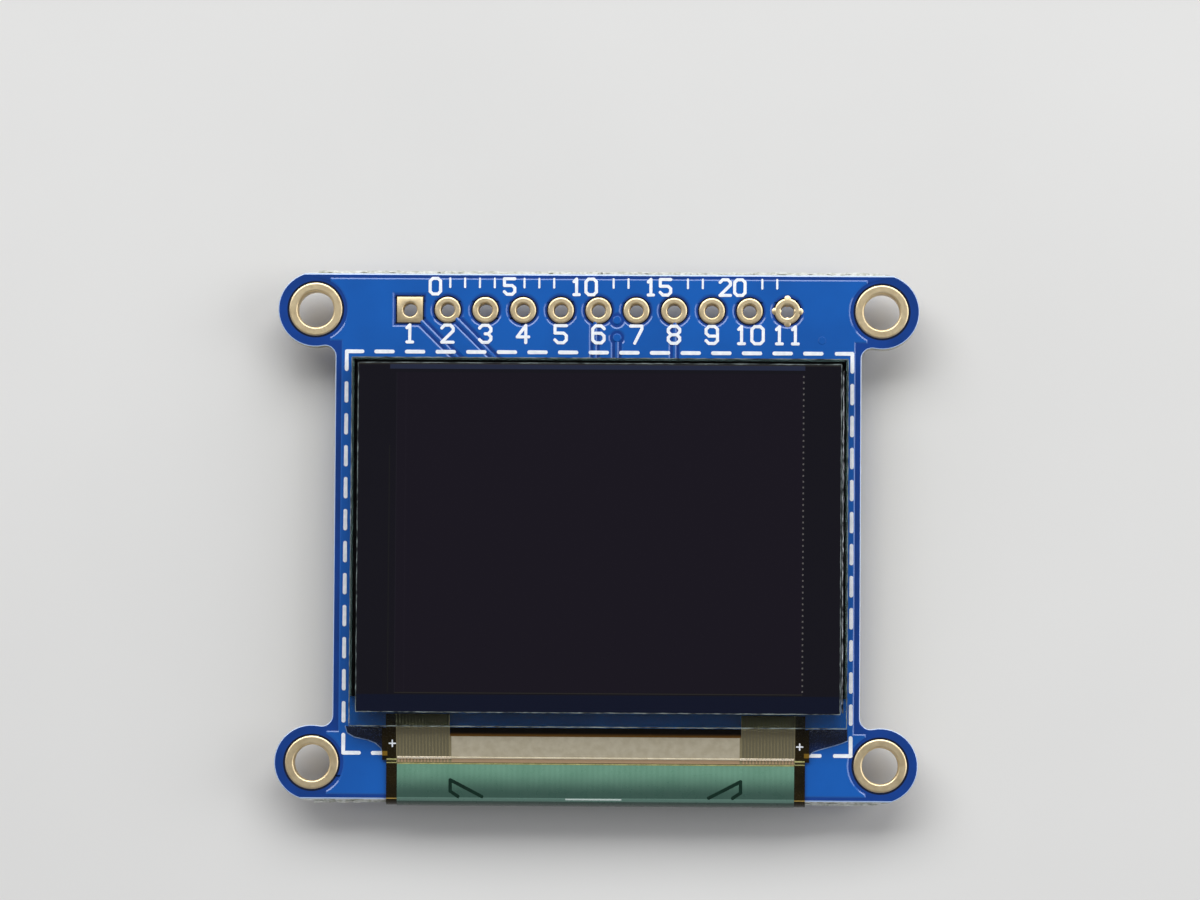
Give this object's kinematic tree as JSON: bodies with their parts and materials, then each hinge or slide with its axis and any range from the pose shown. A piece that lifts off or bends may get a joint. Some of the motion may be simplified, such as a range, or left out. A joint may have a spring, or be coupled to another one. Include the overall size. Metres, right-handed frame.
{
  "type": "oled display breakout module",
  "caption": "Small colour OLED display on a blue breakout board, with a folded flex, a plated header row, four mounting ears and a memory card socket behind.",
  "frame": {"origin": "centre of the four mounting holes, on the board's rear face", "axes": "+Z out of the display face, +X to the right as the display is read, +Y towards the header row"},
  "size_m": [0.0432, 0.0359, 0.0052],
  "materials": {
    "board": "blue solder mask over glass-fibre board, satin gloss",
    "hole_plating": "plated copper land, bright with fine scratches",
    "tape": "matte foam tape",
    "rear_glass": "ground glass, dark from the front",
    "desiccant": "matte sheet",
    "seal_resin": "cured resin",
    "emitter": "dark thin-film stack with a faint purple cast",
    "front_glass": "clear polished glass with cut edges",
    "polarizer_film": "dark film, smooth satin",
    "amber_film": "thin amber polyimide, glossy",
    "flex_copper": "tinned copper, satin",
    "green_coverlay": "green flexible coat, satin",
    "chip_silicon": "bare driver chip, polished",
    "stiffener_plastic": "amber stiffener",
    "socket_plastic": "natural moulded plastic",
    "latch_plastic": "black moulded plastic",
    "gold_contacts": "gold-plated bronze",
    "tinned_metal": "tinned leads, satin",
    "shell_steel": "stamped stainless sheet",
    "black_plastic": "black moulded plastic",
    "chip_epoxy": "moulded epoxy, fine grain",
    "ferrite": "ground ferrite",
    "capacitor_ceramic": "tan ceramic with tinned ends",
    "resistor_ceramic": "dark glaze on ceramic with tinned ends"
  },
  "bodies": {
    "module": {"pcb": "board", "mounting_hole_plating": "hole_plating", "header_hole_plating": "hole_plating", "mounting_tape": "tape", "encapsulation_glass": "rear_glass", "desiccant_sheet": "desiccant", "edge_seal": "seal_resin", "emitter_layer": "emitter", "display_glass": "front_glass", "polarizer": "polarizer_film", "flex_film": "amber_film", "flex_copper": "flex_copper", "flex_coverlay": "green_coverlay", "driver_chip": "chip_silicon", "flex_stiffener": "stiffener_plastic", "flex_socket_housing": "socket_plastic", "flex_socket_contacts": "gold_contacts", "flex_socket_anchors": "tinned_metal", "card_socket_shell": "shell_steel", "card_socket_base": "black_plastic", "card_socket_contacts": "gold_contacts", "card_detect_spring": "gold_contacts", "level_shifter_body": "chip_epoxy", "level_shifter_leads": "tinned_metal", "boost_chip_body": "chip_epoxy", "boost_chip_leads": "tinned_metal", "regulator_body": "chip_epoxy", "regulator_leads": "tinned_metal", "transistor_body": "chip_epoxy", "transistor_leads": "tinned_metal", "diode_body": "chip_epoxy", "diode_leads": "tinned_metal", "inductor_core": "ferrite", "inductor_terminals": "tinned_metal", "capacitor_1": "capacitor_ceramic", "capacitor_2": "capacitor_ceramic", "capacitor_3": "capacitor_ceramic", "capacitor_4": "capacitor_ceramic", "capacitor_5": "capacitor_ceramic", "capacitor_6": "capacitor_ceramic", "capacitor_7": "capacitor_ceramic", "capacitor_8": "capacitor_ceramic", "resistor_1": "resistor_ceramic", "resistor_2": "resistor_ceramic", "resistor_3": "resistor_ceramic", "resistor_4": "resistor_ceramic", "resistor_5": "resistor_ceramic", "resistor_6": "resistor_ceramic", "resistor_7": "resistor_ceramic", "resistor_8": "resistor_ceramic"},
    "latch": {"flex_socket_latch": "latch_plastic"}
  },
  "joints": [
    {"name": "latch_flip", "type": "hinge", "parent": "module", "child": "latch", "pos_m": [0, -0.00595, -0.00144], "axis": [1, 0, 0], "range_deg": [0, 90]}
  ]
}
